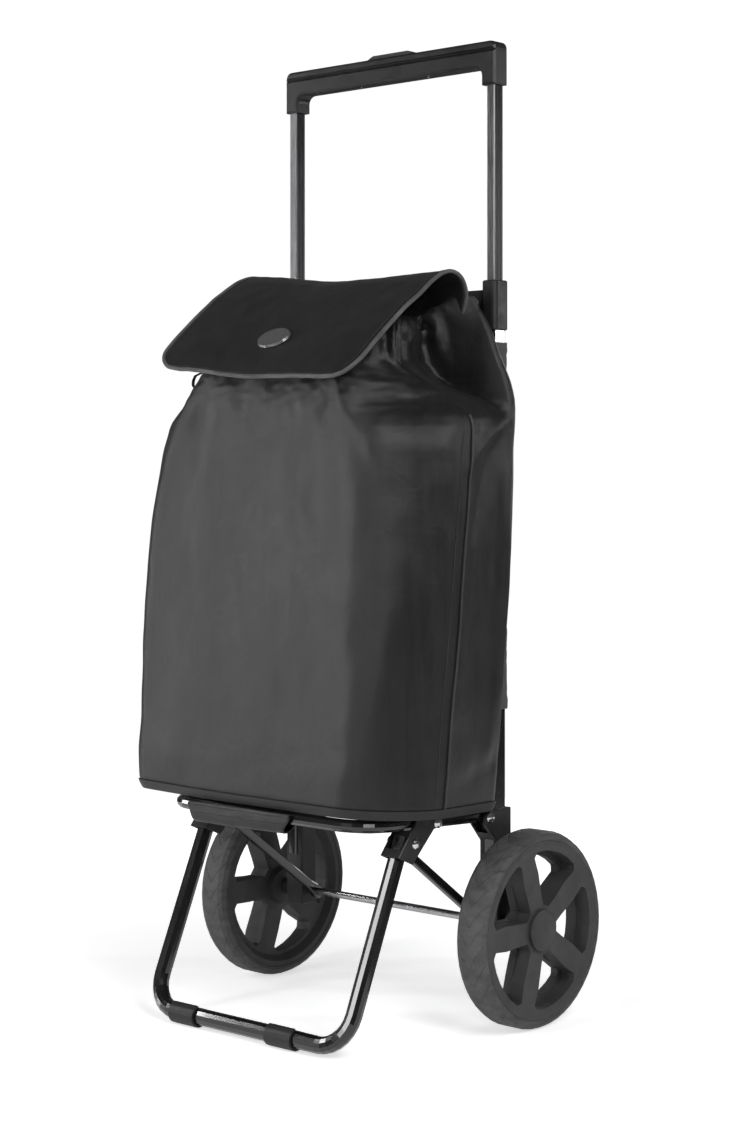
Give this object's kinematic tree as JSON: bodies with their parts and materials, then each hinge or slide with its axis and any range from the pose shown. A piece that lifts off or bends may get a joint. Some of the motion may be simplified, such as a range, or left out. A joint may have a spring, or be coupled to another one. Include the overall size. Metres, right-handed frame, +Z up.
{
  "type": "two-wheeled shopping trolley",
  "caption": "Two-wheeled shopping trolley: soft lidded bag on a folding tubular frame with a fold-up leg, spoked wheels and a telescopic handle with release button.",
  "frame": {"origin": "on the floor, under the middle of the bounding box", "axes": "+Z up, -Y to the front with the leg, +Y to the back where the user walks, +X to the right seen from the front looking back"},
  "size_m": [0.407, 0.3392, 1.0125],
  "materials": {
    "black_paint": "gloss",
    "black_plastic": "satin",
    "bright_steel": "bright",
    "bag_fabric": "woven nylon",
    "sleeve_fabric": "matt",
    "piping_fabric": "matt",
    "badge_plate": "satin",
    "board_plastic": "matt",
    "anodised_aluminium": "anodised",
    "grip_plastic": "satin",
    "button_plastic": "satin",
    "tyre_rubber": "matt",
    "wheel_plastic": "satin"
  },
  "bodies": {
    "frame": {"upright_left": "black_paint", "upright_right": "black_paint", "yoke": "black_plastic", "lower_bracket_left": "black_plastic", "lower_bracket_right": "black_plastic", "axle_rod": "bright_steel", "wheel_bush_left": "black_plastic", "wheel_bush_right": "black_plastic", "platform_pin_left": "bright_steel", "platform_pin_right": "bright_steel", "bag_upper": "bag_fabric", "bag_lower": "bag_fabric", "tube_sleeve_left": "sleeve_fabric", "tube_sleeve_right": "sleeve_fabric", "rear_pocket": "bag_fabric", "zip_tape": "black_plastic", "flap_back": "bag_fabric"},
    "handle": {"handle_tube_left": "anodised_aluminium", "handle_tube_right": "anodised_aluminium", "lock_plug_left": "black_plastic", "lock_plug_right": "black_plastic", "grip_lower_shell": "grip_plastic", "grip_cover": "grip_plastic", "grip_screw_1": "bright_steel", "grip_screw_2": "bright_steel", "grip_screw_3": "bright_steel", "grip_screw_4": "bright_steel"},
    "release": {"release_button": "button_plastic", "release_rods": "bright_steel"},
    "lock_left": {"lock_pin_left": "bright_steel"},
    "lock_right": {"lock_pin_right": "bright_steel"},
    "platform": {"platform_tube": "black_paint", "leg_pin_left": "bright_steel", "leg_pin_right": "bright_steel", "base_board": "board_plastic", "front_loop": "bag_fabric"},
    "leg": {"leg_tube": "black_paint", "leg_bracket_left": "black_plastic", "leg_bracket_right": "black_plastic", "leg_rivet_left": "bright_steel", "leg_rivet_right": "bright_steel", "foot_clip_1": "black_plastic", "foot_clip_2": "black_plastic"},
    "struts": {"strut_left": "black_paint", "strut_right": "black_paint"},
    "wheel_left": {"tyre_left": "tyre_rubber", "rim_left": "wheel_plastic", "hub_cap_left": "wheel_plastic"},
    "wheel_right": {"tyre_right": "tyre_rubber", "rim_right": "wheel_plastic", "hub_cap_right": "wheel_plastic"},
    "flap": {"flap": "bag_fabric", "flap_piping": "piping_fabric", "badge": "badge_plate"},
    "zip_slider": {"zip_slider": "black_plastic"},
    "zip_puller": {"zip_puller": "black_plastic"}
  },
  "joints": [
    {"name": "handle_slide", "type": "slide", "parent": "frame", "child": "handle", "axis": [0, 0, 1], "range_m": [-0.198, 0]},
    {"name": "button_press", "type": "slide", "parent": "handle", "child": "release", "axis": [0, 0, -1], "range_m": [0, 0.004], "stiffness_N_per_m": 500, "springref_m": -0.003},
    {"name": "lock_pin_left_slide", "type": "slide", "parent": "handle", "child": "lock_left", "axis": [-1, 0, 0], "range_m": [0, 0.002]},
    {"name": "lock_pin_right_slide", "type": "slide", "parent": "handle", "child": "lock_right", "axis": [1, 0, 0], "range_m": [0, 0.002]},
    {"name": "platform_fold", "type": "hinge", "parent": "frame", "child": "platform", "pos_m": [0, 0.0457, 0.2125], "axis": [-1, 0, 0], "range_deg": [0, 85], "deforming": ["bag_lower"]},
    {"name": "leg_fold", "type": "hinge", "parent": "platform", "child": "leg", "pos_m": [0, -0.0348, 0.21641], "axis": [1, 0, 0], "range_deg": [0, 112]},
    {"name": "strut_swing", "type": "hinge", "parent": "frame", "child": "struts", "pos_m": [0, 0.0697, 0.1], "axis": [-1, 0, 0], "range_deg": [0, 37.5]},
    {"name": "wheel_left_spin", "type": "hinge", "parent": "frame", "child": "wheel_left", "pos_m": [-0.182, 0.0697, 0.1], "axis": [1, 0, 0], "continuous": true},
    {"name": "wheel_right_spin", "type": "hinge", "parent": "frame", "child": "wheel_right", "pos_m": [0.182, 0.0697, 0.1], "axis": [1, 0, 0], "continuous": true},
    {"name": "flap_hinge", "type": "hinge", "parent": "frame", "child": "flap", "pos_m": [0, -0.0008, 0.7665], "axis": [-1, 0, 0], "range_deg": [0, 130]},
    {"name": "zip_slide", "type": "slide", "parent": "frame", "child": "zip_slider", "axis": [0, 0, 1], "range_m": [0, 0.035]},
    {"name": "puller_swing", "type": "hinge", "parent": "zip_slider", "child": "zip_puller", "pos_m": [0.1279, 0.0887, 0.5078], "axis": [0, -1, 0], "range_deg": [0, 100]}
  ],
  "couplings": [
    {"joint": "leg_fold", "follows": "platform_fold", "ratio": 1.316},
    {"joint": "strut_swing", "follows": "platform_fold", "ratio": 0.4393},
    {"joint": "lock_pin_left_slide", "follows": "button_press", "ratio": 0.5},
    {"joint": "lock_pin_right_slide", "follows": "button_press", "ratio": 0.5}
  ]
}
